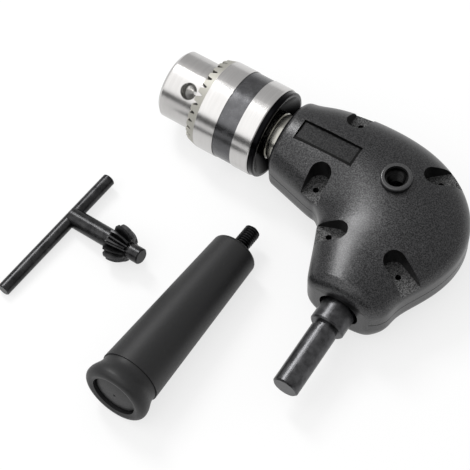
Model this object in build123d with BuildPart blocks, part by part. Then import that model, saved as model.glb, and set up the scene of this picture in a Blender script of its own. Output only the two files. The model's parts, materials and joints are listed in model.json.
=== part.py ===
from build123d import *
from math import asin, atan, atan2, cos, degrees, pi, radians, sin, tan
import os

# Right-angle drill attachment with a keyed three-jaw chuck, lying on a flat surface beside its loose side
# handle and chuck key. Millimetres and degrees, +Z up, z = 0 the surface, origin under the middle of the set.
# The head has its own coordinates: first along the chuck, second along the drive shank, third up, with
# their zero where the chuck's axis crosses the shank's. Lengths called reach are taken from that crossing.

# Clearances
running_gap = 0.04  # radial, shafts in bushes and the sleeve on the chuck body
thrust_gap = 0.1  # end play beside washers
loose_gap = 0.5  # round shafts where nothing guides them
split_gap = 0.6  # saw cut between the halves of the chuck nut

# Place of the head, the handle and the key on the surface
head_x = 40.25
head_y = 47.34
handle_x = -2.95
handle_y = 3.44
handle_heading = 88.5
key_x = -60.65
key_y = -13.76
key_heading = -4.9

# Housing outline
mouth_reach = 49.6
mouth_half_width = 14.4
mouth_half_height = 15.0
end_reach = 47.5
end_half_width = 11.1
end_half_height = 13.9
heel_half_height = 16.9
bend_pivot = (31.5, 29.5)  # where the cross-sections of the bend fan out from
chuck_arm_root_half_width = 19.1
shank_arm_root_half_width = 20.3
crotch_radius = 10.5  # from the pivot to the inside of the bend
heel_radii = (53.8, 60.8, 61.5)  # from the pivot to the heel at a quarter, half and three quarters of the bend
side_band = 4.0  # half height of the upright side beside the parting line
wall = 2.6
pocket_wall = 1.95  # beside the screws' pockets
end_taper_power = 1.3  # above 1 the shank arm stays full longer before it narrows
mouth_rounding = 2.6
end_rounding = 5.0
parting_step = 0.3  # shadow line between the two shells, its depth and its height
end_bore_radius = 7.4  # opening round the shank collar

# Screws of the housing: where each stands, and the direction in which its pocket opens
screw_sites = [
    (29.0, 15.0, 90.0),
    (29.0, -15.0, -90.0),
    (15.5, 28.5, 22.0),
    (-12.1, 29.2, 157.0),
    (-6.5, -9.3, 223.0),
]
pocket_floor = 6.2
pocket_half_width = 3.9
pocket_setback = 2.5  # from the screw back to the centre of the pocket's round end
pilot_radius = 1.05
post_radius = 3.4
screw_seat = -6.5
screw_head_radius = 2.8
screw_head_height = 1.8
screw_clearance = 0.35
screw_tip_depth = 2.4  # below the pocket's floor

# Label recess and handle boss on the upper shell
label_place = (32.4, 1.8)
label_length = 23.2
label_width = 8.2
label_depth = 1.4
label_slope = 2.2  # follows the fall of the chuck arm towards its mouth
boss_place = (5.1, 2.2)
boss_radius = 5.5
boss_top = 18.5
boss_depth = 4.8
boss_rounding = 0.6
insert_radius = 4.1
insert_recess = 1.6
insert_length = 5.7
handle_thread_radius = 3.0
handle_thread_minor = 2.5

# Bevel gears, equal and square to each other
gear_teeth = 20
gear_module = 1.2
gear_face = 5.0
pressure_angle = 20.0
pitch_cone = 45.0
dedendum_share = 1.25  # of the module
gear_backlash = 0.16
hub_radius = 7.0
gear_back_reach = 18.0
gear_seat_radius = 4.0
gear_seat_reach = 8.2
gear_web = 1.5
pin_radius = 1.25
pin_setback = 1.8  # from the back of the hub

# Shafts and their bearings
washer_thickness = 1.0
bush_length = 5.0
outer_bush_length = 8.0
output_journal_radius = 6.0
output_bush_radius = 7.8
input_journal_radius = 6.35
input_bush_radius = 8.0
bush_seat_wall = 2.2
rib_thickness = 2.2
collar_radius = 9.0
collar_length = 9.8
collar_gap = 0.6  # between the housing's mouth and the collar
collar_groove_reach = 3.0
collar_groove_width = 1.0
collar_groove_depth = 0.5
spindle_thread_radius = 4.76
spindle_thread_length = 11.0
shank_radius = 4.75
shank_length = 25.8
shank_collar_length = 7.8
undercut_length = 1.8
undercut_depth = 0.6
shank_chamfer = 0.55

# Chuck, along its axis from the face that seats on the spindle collar
dish_depth = 3.5  # how far the sleeve stands back past that face
sleeve_radius = 17.0
sleeve_length = 26.3
sleeve_edge = 0.35
flange_radius = 16.3  # inside the sleeve
flange_length = 3.2  # inside the sleeve
rim_radius = 16.6  # of the flange behind the sleeve
rim_length = 1.9
rim_gap = 0.3  # from the rim to the sleeve
rim_rounding = 0.6
lip_radius = 15.3
seat_radius = 10.0  # of the face that seats on the collar
barrel_radius = 15.2
nose_radius = 12.85
nose_length = 14.7
nose_chamfer = 1.2
bore_radius = 5.3
bore_depth = 24.5
band_setback = 7.1
band_length = 7.6
band_depth = 0.9
band_sink = 0.25
band_gap = 0.08
crown_teeth = 30
crown_bevel_length = 3.7
crown_bevel_drop = 1.05
crown_tooth_depth = 1.9
crown_gullet_root = 0.5
crown_gullet_top = 1.9
crown_phase = 4.0
key_hole_setback = 10.4  # behind the front of the nose
key_hole_depth = 5.4
key_hole_phase = 31.5
key_hole_cone = 58.0  # half angle of the drilled end
pilot_gap = 0.15

# Jaws and their nut
jaw_count = 3
jaw_phase = 91.5
jaw_angle = 14.0
jaw_radius = 2.9
jaw_gap = 0.05
jaw_recess = 8.5  # of the open jaws' tips behind the front of the nose
grip_radius = 5.0
jaw_length = 28.4
jaw_flat_angle = 60.0
nut_length = 5.0
nut_radius = 14.4
nut_setback = 17.5  # of the nut's front behind the front of the nose
nut_thread_gap = 0.15
nut_end_gap = 0.3
nut_groove_radius = 9.0

# Side handle, along its axis from the front face
grip_length = 61.4
grip_front_radius = 8.5
grip_rear_radius = 10.9
grip_front_rounding = 1.6
grip_step = 0.4
neck_length = 1.0
bead_radius = 12.1
bead_rounding = 2.4
handle_length = 70.9
cap_recess_radius = 8.3
cap_recess_depth = 4.2
cap_radius = 7.7
cap_thickness = 2.6
cap_flange_thickness = 1.0
cap_dome = 0.7
cap_dome_halfway = 0.56  # its rise at half the radius
cap_dimple_radius = 0.45
stud_length = 11.0
stud_chamfer = 0.6
bolt_shank_radius = 3.3  # inside the grip
bolt_head_radius = 5.5
bolt_head_height = 4.0
bolt_head_setback = 4.6  # of the head's end behind the cap recess

# Chuck key
bar_radius = 2.4
bar_upper_length = 20.1
bar_lower_length = 37.1
bar_chamfer = 0.3
stem_radius = 3.5
pinion_reach = 19.7  # from the bar's axis to the pinion's back
pinion_length = 7.3
pinion_radius = 6.8
pinion_nose_radius = 4.3
pinion_bulge = (4.4, 6.15)  # a point on its rounded outline, from its back and from its axis
pinion_teeth = 12
pinion_root_nose = 3.25
pinion_root_back = 5.1
pinion_gullet_root = 0.6
pinion_gullet_top = 2.5
pinion_back_chamfer = 0.5
key_pilot_radius = 2.95
key_pilot_length = 5.3
key_pilot_chamfer = 0.4

os.makedirs("parts", exist_ok=True)

# The head lies on the chuck sleeve and on the underside of its shank arm, which is shallower at its end,
# so the shank dips towards the surface.
shank_dip = degrees(atan2(heel_half_height - end_half_height, end_reach))
head = Plane(
    origin=(head_x, head_y, sleeve_radius),
    x_dir=(-1, 0, 0),
    z_dir=(0, -sin(radians(shank_dip)), cos(radians(shank_dip))),
)


def in_head(plane):
    """The model's plane for a plane given in the head's own coordinates."""
    return Plane(head.location * plane.location)


def across_chuck(reach):
    """Plane square to the chuck's axis, facing along it, x towards the shank."""
    return in_head(Plane.YZ.offset(reach))


def across_shank(reach):
    """Plane square to the shank's axis, facing along it, x towards the chuck."""
    return in_head(Plane(origin=(0, reach, 0), x_dir=(1, 0, 0), z_dir=(0, 1, 0)))


chuck_profile = in_head(Plane.XZ)
shank_profile = in_head(Plane.YZ)
chuck_axis = Axis(chuck_profile.origin, chuck_profile.x_dir)
shank_axis = Axis(shank_profile.origin, shank_profile.x_dir)

# Stations along the two shafts
washer_reach = gear_back_reach + thrust_gap
bush_reach = washer_reach + washer_thickness
journal_reach = bush_reach + thrust_gap
output_outer_bush_reach = mouth_reach - 2 * wall - outer_bush_length
input_outer_bush_reach = end_reach - 2 * wall - outer_bush_length
collar_reach = mouth_reach + collar_gap
chuck_reach = collar_reach + collar_length
sleeve_rear = chuck_reach - dish_depth
sleeve_front = sleeve_rear + sleeve_length
flange_front = sleeve_rear + flange_length
bevel_rear = sleeve_front - crown_bevel_length
crown_radius = sleeve_radius - crown_bevel_drop
nose_front = sleeve_front + nose_length
key_hole_reach = nose_front - key_hole_setback
nut_front = nose_front - nut_setback
nut_rear = nut_front - nut_length
jaw_tip = nose_front - jaw_recess
shank_collar_end = end_reach + shank_collar_length
shank_end = shank_collar_end + shank_length


def half_height_at(reach):
    """Half height of the housing along the shank arm, whose underside lies on the surface."""
    return heel_half_height - reach * tan(radians(shank_dip))


def housing_sections(inset, mouth_end, shank_end_face):
    """Cross-sections of the housing from the chuck's mouth round the bend to the shank end.

    Each is its plane, its half width and its half height, drawn in by the inset.
    """
    pivot_c, pivot_s = bend_pivot
    sections = []
    for share in (1.0, 0.5, 0.0):
        reach = pivot_c + share * (mouth_end - pivot_c)
        along = (reach - pivot_c) / (mouth_reach - pivot_c)
        half_width = chuck_arm_root_half_width + along * (mouth_half_width - chuck_arm_root_half_width)
        half_height = heel_half_height + along**2 * (mouth_half_height - heel_half_height)
        sections.append((0, reach, 0, half_width, half_height))
    for angle, heel_radius in zip((22.5, 45.0, 67.5), heel_radii):
        middle = (heel_radius + crotch_radius) / 2
        reach_c = pivot_c - middle * sin(radians(angle))
        reach_s = pivot_s - middle * cos(radians(angle))
        half_height = half_height_at(max(0.0, reach_s))
        sections.append((angle, reach_c, reach_s, (heel_radius - crotch_radius) / 2, half_height))
    for share in (0.0, 0.5, 1.0):
        reach = pivot_s + share * (shank_end_face - pivot_s)
        along = (reach - pivot_s) / (end_reach - pivot_s)
        narrowing = along**end_taper_power * (shank_arm_root_half_width - end_half_width)
        half_width = shank_arm_root_half_width - narrowing
        sections.append((90, 0, reach, half_width, half_height_at(reach)))
    planes = []
    for angle, reach_c, reach_s, half_width, half_height in sections:
        turn = radians(angle)
        plane = Plane(
            origin=(reach_c, reach_s, 0), x_dir=(-sin(turn), -cos(turn), 0), z_dir=(-cos(turn), sin(turn), 0)
        )
        planes.append((in_head(plane), half_width - inset, half_height - inset))
    return planes


def housing_form(inset, mouth_end, shank_end_face):
    """Solid form of the housing, drawn in by the inset, between two end faces."""
    with BuildPart() as form:
        for plane, half_width, half_height in housing_sections(inset, mouth_end, shank_end_face):
            band = side_band - inset / 2
            rise = half_height - band
            with BuildSketch(plane):
                with BuildLine():
                    EllipticalCenterArc((0, band), half_width, rise, start_angle=0, arc_size=180)
                    Line((-half_width, band), (-half_width, -band))
                    EllipticalCenterArc((0, -band), half_width, rise, start_angle=180, arc_size=180)
                    Line((half_width, -band), (half_width, band))
                make_face()
        loft()
    return form.part


def pocket_form(margin, floor):
    """The screws' pockets, widened by the margin, from their floor up past the housing's top."""
    with BuildPart() as pockets:
        for site_c, site_s, opening in screw_sites:
            direction = (cos(radians(opening)), sin(radians(opening)), 0)
            with BuildSketch(in_head(Plane(origin=(site_c, site_s, floor), x_dir=direction, z_dir=(0, 0, 1)))):
                with Locations((-pocket_setback, 0)):
                    Circle(pocket_half_width + margin)
                    Rectangle(
                        4 * pocket_half_width, 2 * (pocket_half_width + margin), align=(Align.MIN, Align.CENTER)
                    )
            extrude(amount=2 * heel_half_height)
    return pockets.part


def bearing_seats(across, bush_radius, spans, blocked_to):
    """Rings that hold the bushes of one shaft, each with a rib across the arm."""
    with BuildPart() as seats:
        for start, length in spans:
            with BuildSketch(across(start)):
                Circle(bush_radius + bush_seat_wall)
            extrude(amount=length)
            with BuildSketch(across(start + (length - rib_thickness) / 2)):
                with Locations((blocked_to, 0)):
                    Rectangle(4 * sleeve_radius, 4 * sleeve_radius, align=(Align.MAX, Align.CENTER))
            extrude(amount=rib_thickness)
    return seats.part


output_bush_spans = [(bush_reach, bush_length), (output_outer_bush_reach, outer_bush_length)]
input_bush_spans = [(bush_reach, bush_length), (input_outer_bush_reach, outer_bush_length)]

# Hollow of the housing: the inner form, less what stands up in it
with BuildPart() as hollow:
    add(housing_form(wall, mouth_reach - wall, end_reach - wall))
    add(bearing_seats(across_chuck, output_bush_radius, output_bush_spans, bend_pivot[1]), mode=Mode.SUBTRACT)
    add(bearing_seats(across_shank, input_bush_radius, input_bush_spans, bend_pivot[0]), mode=Mode.SUBTRACT)
    add(pocket_form(pocket_wall, pocket_floor - wall), mode=Mode.SUBTRACT)
    with BuildSketch(in_head(Plane.XY.offset(-2 * heel_half_height))):
        with Locations([(site[0], site[1]) for site in screw_sites]):
            Circle(post_radius)
    extrude(amount=4 * heel_half_height, mode=Mode.SUBTRACT)
    with BuildSketch(in_head(Plane.XY.offset(boss_top - boss_depth))):
        with Locations(boss_place):
            Circle(boss_radius)
    extrude(amount=boss_depth, mode=Mode.SUBTRACT)

# Room for the shafts and seats for their bushes, cut through both shells
with BuildPart() as shaft_room:
    with BuildSketch(across_chuck(gear_seat_reach)):
        Circle(output_journal_radius + loose_gap)
    extrude(amount=mouth_reach)
    with BuildSketch(across_shank(gear_seat_reach)):
        Circle(input_journal_radius + loose_gap)
    extrude(amount=end_reach)
    for start, length in output_bush_spans:
        with BuildSketch(across_chuck(start)):
            Circle(output_bush_radius)
        extrude(amount=length)
    for start, length in input_bush_spans:
        with BuildSketch(across_shank(start)):
            Circle(input_bush_radius)
        extrude(amount=length)
    with BuildSketch(across_shank(input_outer_bush_reach + outer_bush_length)):
        Circle(end_bore_radius)
    extrude(amount=end_reach)

# Both halves of the housing before they part
with BuildPart() as casing:
    add(housing_form(0, mouth_reach, end_reach))
    mouth_face = casing.faces().filter_by(GeomType.PLANE).sort_by(chuck_axis)[-1]
    fillet(mouth_face.edges(), mouth_rounding)
    end_face = casing.faces().filter_by(GeomType.PLANE).sort_by(shank_axis)[-1]
    fillet(end_face.edges(), end_rounding)
    add(hollow.part, mode=Mode.SUBTRACT)
    add(shaft_room.part, mode=Mode.SUBTRACT)

# Boss for the side handle, with a rounded rim
with BuildPart() as boss:
    with BuildSketch(in_head(Plane.XY.offset(boss_top - boss_depth))):
        with Locations(boss_place):
            Circle(boss_radius)
    extrude(amount=boss_depth)
    boss_rim = boss.faces().sort_by(Axis(head.origin, head.z_dir))[-1]
    fillet(boss_rim.edges(), boss_rounding)

# Upper shell
with BuildPart() as upper_shell:
    add(casing.part)
    split(bisect_by=head, keep=Keep.TOP)
    add(boss.part)
    add(pocket_form(0, pocket_floor), mode=Mode.SUBTRACT)
    with BuildSketch(in_head(Plane.XY)):
        with Locations([(site[0], site[1]) for site in screw_sites]):
            Circle(pilot_radius)
    extrude(amount=heel_half_height, mode=Mode.SUBTRACT)
    label_plane = Plane(
        origin=(label_place[0], label_place[1], heel_half_height - label_depth),
        x_dir=(cos(radians(label_slope)), 0, -sin(radians(label_slope))),
        z_dir=(sin(radians(label_slope)), 0, cos(radians(label_slope))),
    )
    with BuildSketch(in_head(label_plane)):
        Rectangle(label_length, label_width)
    extrude(amount=wall, mode=Mode.SUBTRACT)
    with BuildSketch(in_head(Plane.XY.offset(boss_top - 2 * boss_depth))):
        with Locations(boss_place):
            Circle(insert_radius)
    extrude(amount=3 * boss_depth, mode=Mode.SUBTRACT)
upper_shell.part.label = "upper_shell"
export_step(upper_shell.part, "parts/upper_shell.step")

# Shadow line round the lower shell's rim
with BuildPart() as rim_step:
    with BuildSketch(in_head(Plane.XY.offset(-parting_step))):
        Rectangle(8 * sleeve_radius, 8 * sleeve_radius)
    extrude(amount=2 * parting_step)
    add(housing_form(parting_step, mouth_reach, end_reach), mode=Mode.SUBTRACT)

# Lower shell
with BuildPart() as lower_shell:
    add(casing.part)
    split(bisect_by=head, keep=Keep.BOTTOM)
    with BuildSketch(in_head(Plane.XY.offset(screw_seat))):
        with Locations([(site[0], site[1]) for site in screw_sites]):
            Circle(screw_head_radius + screw_clearance)
    extrude(amount=-heel_half_height, mode=Mode.SUBTRACT)
    with BuildSketch(in_head(Plane.XY)):
        with Locations([(site[0], site[1]) for site in screw_sites]):
            Circle(pilot_radius + screw_clearance)
    extrude(amount=screw_seat, mode=Mode.SUBTRACT)
    add(rim_step.part, mode=Mode.SUBTRACT)
lower_shell.part.label = "lower_shell"
export_step(lower_shell.part, "parts/lower_shell.step")

# Housing screws, heads in the lower shell's counterbores
with BuildPart() as housing_screws:
    with BuildSketch(in_head(Plane.XY.offset(screw_seat))):
        with Locations([(site[0], site[1]) for site in screw_sites]):
            Circle(screw_head_radius)
    extrude(amount=-screw_head_height)
    with BuildSketch(in_head(Plane.XY.offset(screw_seat))):
        with Locations([(site[0], site[1]) for site in screw_sites]):
            Circle(pilot_radius)
    extrude(amount=pocket_floor - screw_tip_depth - screw_seat)
housing_screws.part.label = "housing_screws"
export_step(housing_screws.part, "parts/housing_screws.step")

# Threaded insert for the side handle
with BuildPart() as handle_insert:
    with BuildSketch(in_head(Plane.XY.offset(boss_top - insert_recess))):
        with Locations(boss_place):
            Circle(insert_radius)
            Circle(handle_thread_minor, mode=Mode.SUBTRACT)
    extrude(amount=-insert_length)
    insert_mouth = handle_insert.faces().sort_by(Axis(head.origin, head.z_dir))[-1]
    chamfer(insert_mouth.edges().sort_by(SortBy.RADIUS)[0], handle_thread_radius - handle_thread_minor)
handle_insert.part.label = "handle_insert"
export_step(handle_insert.part, "parts/handle_insert.step")


def ring(across, start, length, inner_radius, outer_radius):
    """Plain ring round one of the head's axes."""
    with BuildPart() as body:
        with BuildSketch(across(start)):
            Circle(outer_radius)
            Circle(inner_radius, mode=Mode.SUBTRACT)
        extrude(amount=length)
    return body.part


# Bushes and thrust washers of both shafts
fittings = {
    "output_front_bush": ring(
        across_chuck, bush_reach, bush_length, output_journal_radius + running_gap, output_bush_radius
    ),
    "output_rear_bush": ring(
        across_chuck,
        output_outer_bush_reach,
        outer_bush_length,
        output_journal_radius + running_gap,
        output_bush_radius,
    ),
    "input_front_bush": ring(
        across_shank, bush_reach, bush_length, input_journal_radius + running_gap, input_bush_radius
    ),
    "input_rear_bush": ring(
        across_shank,
        input_outer_bush_reach,
        outer_bush_length,
        input_journal_radius + running_gap,
        input_bush_radius,
    ),
    "output_thrust_washer": ring(
        across_chuck, washer_reach, washer_thickness, gear_seat_radius + running_gap, output_bush_radius
    ),
    "input_thrust_washer": ring(
        across_shank, washer_reach, washer_thickness, gear_seat_radius + running_gap, input_bush_radius
    ),
}
for name, fitting in fittings.items():
    fitting.label = name
    export_step(fitting, f"parts/{name}.step")


def cone_plane(apex_distance, cone_angle):
    """Plane square to the side line of a cone with its apex at the origin, opening upwards.

    Its x runs along the cone's rim and its y away from the cone's axis.
    """
    lean = radians(cone_angle)
    return Plane(
        origin=(apex_distance * sin(lean), 0, apex_distance * cos(lean)),
        x_dir=(0, 1, 0),
        z_dir=(-sin(lean), 0, -cos(lean)),
    )


def bevel_tooth():
    """One tooth of a mitre gear, its sides arcs with the curvature that the pitch line asks for.

    It is made on a gear that turns about Z, to be placed by the gear's own plane.
    """
    pitch_radius = gear_module * gear_teeth / 2
    outer_distance = pitch_radius / sin(radians(pitch_cone))
    flank_radius = outer_distance * sin(radians(pressure_angle))
    half_tooth = pi * gear_module / 4 - gear_backlash / 2
    centre_x = flank_radius * cos(radians(pressure_angle)) - half_tooth
    centre_y = -flank_radius * sin(radians(pressure_angle))
    crest = gear_module
    foot = -dedendum_share * gear_module - 2 * gear_backlash
    with BuildPart() as tooth:
        for distance in (outer_distance, outer_distance - gear_face):
            scale_down = distance / outer_distance
            with BuildSketch(cone_plane(distance, pitch_cone)):
                with Locations((-centre_x * scale_down, centre_y * scale_down)):
                    Circle(flank_radius * scale_down)
                with Locations((centre_x * scale_down, centre_y * scale_down)):
                    Circle(flank_radius * scale_down, mode=Mode.INTERSECT)
                with Locations((0, (crest + foot) / 2 * scale_down)):
                    Rectangle(4 * gear_module, (crest - foot) * scale_down, mode=Mode.INTERSECT)
        loft(ruled=True)
    return tooth.part


def bevel_gear(where, profile, axis, phase):
    """Mitre gear with its apex where the shafts cross, bored for its shaft and for its cross pin."""
    pitch_radius = gear_module * gear_teeth / 2
    dedendum = dedendum_share * gear_module * cos(radians(pitch_cone))
    root_reach = pitch_radius + dedendum
    root_radius = pitch_radius - dedendum
    outer_distance = pitch_radius / sin(radians(pitch_cone))
    inner_share = (outer_distance - gear_face) / outer_distance
    tooth = bevel_tooth()
    with BuildPart(where) as gear:
        with BuildSketch(profile):
            with BuildLine():
                Polyline(
                    (root_reach * inner_share, gear_seat_radius),
                    (root_reach * inner_share, root_radius * inner_share),
                    (root_reach, root_radius),
                    (root_reach + gear_web, root_radius - gear_web),
                    (root_reach + gear_web, hub_radius),
                    (gear_back_reach, hub_radius),
                    (gear_back_reach, gear_seat_radius),
                    close=True,
                )
            make_face()
        revolve(axis=axis)
        with PolarLocations(0, gear_teeth, start_angle=phase):
            add(tooth)
    return gear.part


tooth_pitch = 360 / gear_teeth
output_gear_plane = in_head(Plane.YZ)
input_gear_plane = in_head(Plane(origin=(0, 0, 0), x_dir=(1, 0, 0), z_dir=(0, 1, 0)))
pin_reach = gear_back_reach - pin_setback
output_pin_plane = in_head(Plane(origin=(pin_reach, 0, -hub_radius), z_dir=(0, 0, 1)))
input_pin_plane = in_head(Plane(origin=(0, pin_reach, -hub_radius), z_dir=(0, 0, 1)))

# Bevel gear on the chuck spindle
with BuildPart() as output_gear:
    add(bevel_gear(output_gear_plane, chuck_profile, chuck_axis, 0))
    with BuildSketch(output_pin_plane):
        Circle(pin_radius)
    extrude(amount=2 * hub_radius, mode=Mode.SUBTRACT)
output_gear.part.label = "output_gear"
export_step(output_gear.part, "parts/output_gear.step")

# Bevel gear on the drive shank, half a tooth round so that it meshes with the other
with BuildPart() as input_gear:
    add(bevel_gear(input_gear_plane, shank_profile, shank_axis, tooth_pitch / 2))
    with BuildSketch(input_pin_plane):
        Circle(pin_radius)
    extrude(amount=2 * hub_radius, mode=Mode.SUBTRACT)
input_gear.part.label = "input_gear"
export_step(input_gear.part, "parts/input_gear.step")

# Cross pins of both gears
with BuildPart() as output_gear_pin:
    with BuildSketch(output_pin_plane):
        Circle(pin_radius)
    extrude(amount=2 * hub_radius)
output_gear_pin.part.label = "output_gear_pin"
export_step(output_gear_pin.part, "parts/output_gear_pin.step")

with BuildPart() as input_gear_pin:
    with BuildSketch(input_pin_plane):
        Circle(pin_radius)
    extrude(amount=2 * hub_radius)
input_gear_pin.part.label = "input_gear_pin"
export_step(input_gear_pin.part, "parts/input_gear_pin.step")

# Chuck spindle: gear seat, journal, neck collar outside the housing and the thread that carries the chuck
with BuildPart() as output_spindle:
    groove_start = collar_reach + collar_groove_reach
    groove_end = groove_start + collar_groove_width
    with BuildSketch(chuck_profile):
        with BuildLine():
            Polyline(
                (gear_seat_reach, 0),
                (gear_seat_reach, gear_seat_radius),
                (journal_reach, gear_seat_radius),
                (journal_reach, output_journal_radius),
                (collar_reach, output_journal_radius),
                (collar_reach, collar_radius - collar_groove_depth),
                (collar_reach + collar_groove_depth, collar_radius),
                (groove_start, collar_radius),
                (groove_start, collar_radius - collar_groove_depth),
                (groove_end, collar_radius - collar_groove_depth),
                (groove_end, collar_radius),
                (chuck_reach, collar_radius),
                (chuck_reach, spindle_thread_radius),
                (chuck_reach + spindle_thread_length, spindle_thread_radius),
                (chuck_reach + spindle_thread_length, 0),
                close=True,
            )
        make_face()
    revolve(axis=chuck_axis)
    with BuildSketch(output_pin_plane):
        Circle(pin_radius)
    extrude(amount=2 * hub_radius, mode=Mode.SUBTRACT)
output_spindle.part.label = "output_spindle"
export_step(output_spindle.part, "parts/output_spindle.step")

# Drive shaft: gear seat, journal with its collar, undercut and the round shank
with BuildPart() as input_shaft:
    with BuildSketch(shank_profile):
        with BuildLine():
            Polyline(
                (gear_seat_reach, 0),
                (gear_seat_reach, gear_seat_radius),
                (journal_reach, gear_seat_radius),
                (journal_reach, input_journal_radius),
                (shank_collar_end - shank_chamfer, input_journal_radius),
                (shank_collar_end, input_journal_radius - shank_chamfer),
                (shank_collar_end, shank_radius - undercut_depth),
                (shank_collar_end + undercut_length, shank_radius - undercut_depth),
                (shank_collar_end + undercut_length, shank_radius),
                (shank_end - shank_chamfer, shank_radius),
                (shank_end, shank_radius - shank_chamfer),
                (shank_end, 0),
                close=True,
            )
        make_face()
    revolve(axis=shank_axis)
    with BuildSketch(input_pin_plane):
        Circle(pin_radius)
    extrude(amount=2 * hub_radius, mode=Mode.SUBTRACT)
input_shaft.part.label = "input_shaft"
export_step(input_shaft.part, "parts/input_shaft.step")


def around_chuck(phase):
    """Direction square to the chuck's axis, turned from up towards the shank."""
    return (0, sin(radians(phase)), cos(radians(phase)))


def jaw_axis_radius(reach):
    """Distance of a jaw's axis from the chuck's, the jaws being open."""
    return grip_radius + (jaw_tip - reach) * tan(radians(jaw_angle))


def jaw_plane(phase, ahead):
    """Plane square to a jaw's axis, facing back along it, so far ahead of the open jaw's tip."""
    outward = around_chuck(phase)
    lean = radians(jaw_angle)
    origin_radius = grip_radius - ahead * sin(lean)
    return in_head(
        Plane(
            origin=(jaw_tip + ahead * cos(lean), origin_radius * outward[1], origin_radius * outward[2]),
            z_dir=(-cos(lean), sin(lean) * outward[1], sin(lean) * outward[2]),
        )
    )


jaw_phases = [jaw_phase + index * 360 / jaw_count for index in range(jaw_count)]
jaw_lead_in = 2 * jaw_recess

# Chuck body: seat on the spindle, rear flange, barrel with the nut's groove, and the nose
with BuildPart() as chuck_body:
    rim_front = sleeve_rear - rim_gap
    rim_rear = rim_front - rim_length
    groove_rear = nut_rear - nut_end_gap
    groove_front = nut_front + nut_end_gap
    with BuildSketch(chuck_profile):
        with BuildLine():
            Polyline(
                (rim_rear + rim_rounding, rim_radius),
                (rim_front, rim_radius),
                (rim_front, flange_radius),
                (flange_front, flange_radius),
                (flange_front, barrel_radius),
                (groove_rear, barrel_radius),
                (groove_rear, nut_groove_radius),
                (groove_front, nut_groove_radius),
                (groove_front, nose_radius),
                (nose_front - nose_chamfer, nose_radius),
                (nose_front, nose_radius - nose_chamfer),
                (nose_front, 0),
                (chuck_reach, 0),
                (chuck_reach, seat_radius),
                (rim_rear, lip_radius),
                (rim_rear, rim_radius - rim_rounding),
            )
            RadiusArc(
                (rim_rear, rim_radius - rim_rounding), (rim_rear + rim_rounding, rim_radius), rim_rounding
            )
        make_face()
    revolve(axis=chuck_axis)
    with BuildSketch(across_chuck(nose_front)):
        Circle(bore_radius)
    extrude(amount=-bore_depth, mode=Mode.SUBTRACT)
    with BuildSketch(across_chuck(chuck_reach)):
        Circle(spindle_thread_radius)
    extrude(amount=spindle_thread_length, mode=Mode.SUBTRACT)
    for phase in jaw_phases:
        with BuildSketch(jaw_plane(phase, jaw_lead_in)):
            Circle(jaw_radius + jaw_gap)
        extrude(amount=jaw_lead_in + jaw_length + nut_end_gap, mode=Mode.SUBTRACT)
    pilot_hole_radius = key_pilot_radius + pilot_gap
    for index in range(jaw_count):
        outward = around_chuck(key_hole_phase + index * 360 / jaw_count)
        side = Plane(origin=(key_hole_reach, 0, 0), x_dir=(1, 0, 0), z_dir=outward)
        with BuildSketch(in_head(side.offset(nose_radius - key_hole_depth))):
            Circle(pilot_hole_radius)
        extrude(amount=sleeve_radius, mode=Mode.SUBTRACT)
        with BuildSketch(in_head(side.offset(nose_radius - key_hole_depth))):
            Circle(pilot_hole_radius)
        extrude(amount=-pilot_hole_radius / 2, taper=key_hole_cone, mode=Mode.SUBTRACT)
chuck_body.part.label = "chuck_body"
export_step(chuck_body.part, "parts/chuck_body.step")


def gullet(root_angle, apex_distance, depth, root_width, top_width, reach_out, reach_in):
    """Cutter for one tooth space that narrows towards the apex of its cone, made about Z.

    The depth, and the widths at the root and at that depth, hold at the apex distance. The cutter runs on
    past it and short of it, and stands twice as tall as it cuts.
    """
    with BuildPart() as cutter:
        for distance in (apex_distance + reach_out, apex_distance - reach_in):
            share = distance / apex_distance
            with BuildSketch(cone_plane(distance, root_angle)):
                with BuildLine():
                    Polyline(
                        (-root_width / 2 * share, 0),
                        (root_width / 2 * share, 0),
                        ((top_width - root_width / 2) * share, 2 * depth * share),
                        (-(top_width - root_width / 2) * share, 2 * depth * share),
                        close=True,
                    )
                make_face()
        loft(ruled=True)
    return cutter.part


# Chuck sleeve: turning ring with the crown of teeth that the key drives
crown_apex = in_head(
    Plane(origin=(key_hole_reach, 0, 0), x_dir=around_chuck(crown_phase), z_dir=(-1, 0, 0))
)
crown_back = key_hole_reach - sleeve_front
crest_angle = degrees(atan2(crown_radius, crown_back))
crest_distance = crown_radius / sin(radians(crest_angle))
crown_root_angle = crest_angle - degrees(asin(crown_tooth_depth / crest_distance))
crown_inner_radius = nose_radius + running_gap
face_rise = (crown_radius - crown_inner_radius) / tan(radians(crest_angle))
band_rear = sleeve_rear + band_setback
band_front = band_rear + band_length
barrel_bore = barrel_radius + running_gap
flange_bore = flange_radius + running_gap
flange_bore_end = flange_front + nut_end_gap
crown_gullet = gullet(
    crown_root_angle,
    crest_distance,
    crown_tooth_depth,
    crown_gullet_root,
    crown_gullet_top,
    crown_bevel_length,
    crown_bevel_length,
)
with BuildPart(crown_apex) as chuck_sleeve:
    with BuildSketch(chuck_profile):
        with BuildLine():
            Polyline(
                (sleeve_rear, flange_bore),
                (sleeve_rear, sleeve_radius - sleeve_edge),
                (sleeve_rear + sleeve_edge, sleeve_radius),
                (band_rear, sleeve_radius),
                (band_rear, sleeve_radius - band_depth),
                (band_front, sleeve_radius - band_depth),
                (band_front, sleeve_radius),
                (bevel_rear, sleeve_radius),
                (sleeve_front, crown_radius),
                (sleeve_front + face_rise, crown_inner_radius),
                (nut_front, crown_inner_radius),
                (nut_front, nut_radius),
                (nut_rear, nut_radius),
                (nut_rear, barrel_bore),
                (flange_bore_end, barrel_bore),
                (flange_bore_end, flange_bore),
                close=True,
            )
        make_face()
    revolve(axis=chuck_axis)
    with PolarLocations(0, crown_teeth):
        add(crown_gullet, mode=Mode.SUBTRACT)
chuck_sleeve.part.label = "chuck_sleeve"
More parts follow.
